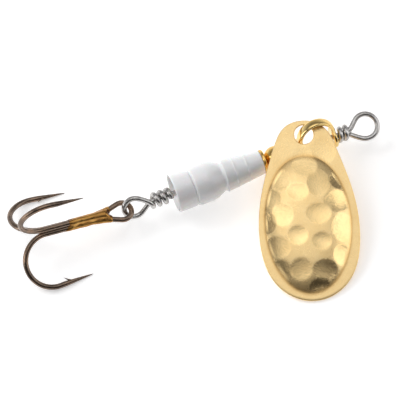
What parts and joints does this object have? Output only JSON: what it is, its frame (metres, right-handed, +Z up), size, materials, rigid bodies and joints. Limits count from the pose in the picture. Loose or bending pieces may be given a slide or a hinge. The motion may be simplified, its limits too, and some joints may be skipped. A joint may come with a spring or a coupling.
{
  "type": "fishing spinner",
  "caption": "Inline spinner lure: a hammered egg-shaped blade on a clevis spins on a wire shaft ahead of a turned white body, with a treble hook linked behind.",
  "frame": {"origin": "middle of the whole lure's bounding box, on the surface that it lies on", "axes": "+X along the shaft towards the line tie, +Z up; the blade lies out to -Y"},
  "size_m": [0.0678, 0.0364, 0.0158],
  "materials": {
    "steel_wire": "drawn stainless wire, satin",
    "white_plastic": "glossy white",
    "gold_brass": "polished gold-coloured plating",
    "gold_blade": "hammered, polished gold-coloured plating",
    "bronzed_steel": "dark bronzed steel",
    "braze": "golden-brown braze"
  },
  "bodies": {
    "shaft": {"shaft_wire": "steel_wire"},
    "body": {"body_shell": "white_plastic", "body_core": "gold_brass"},
    "bearing": {"bearing_bead": "gold_brass"},
    "spacer": {"spacer_bead": "gold_brass"},
    "clevis": {"clevis": "gold_brass"},
    "blade": {"blade": "gold_blade"},
    "hook": {"hook_double": "bronzed_steel", "hook_single": "bronzed_steel", "hook_braze": "braze"}
  },
  "joints": [
    {"name": "body_spin", "type": "hinge", "parent": "shaft", "child": "body", "pos_m": [-0.00466, 0.0086, 0.0036], "axis": [1, 0, 0], "continuous": true},
    {"name": "bearing_spin", "type": "hinge", "parent": "shaft", "child": "bearing", "pos_m": [0.01421, 0.0086, 0.0036], "axis": [1, 0, 0], "continuous": true},
    {"name": "spacer_spin", "type": "hinge", "parent": "shaft", "child": "spacer", "pos_m": [0.01737, 0.0086, 0.0036], "axis": [1, 0, 0], "continuous": true},
    {"name": "clevis_spin", "type": "hinge", "parent": "shaft", "child": "clevis", "pos_m": [0.0221, 0.0086, 0.0036], "axis": [1, 0, 0], "continuous": true},
    {"name": "blade_swing", "type": "hinge", "parent": "clevis", "child": "blade", "pos_m": [0.01939, 0.00973, 0.0067], "axis": [-0.95, 0.3123, 0], "range_deg": [0, 60]},
    {"name": "hook_swing", "type": "hinge", "parent": "shaft", "child": "hook", "pos_m": [-0.01391, 0.0086, 0.0036], "axis": [0, 0.5, 0.866], "range_deg": [-75, 75]}
  ]
}
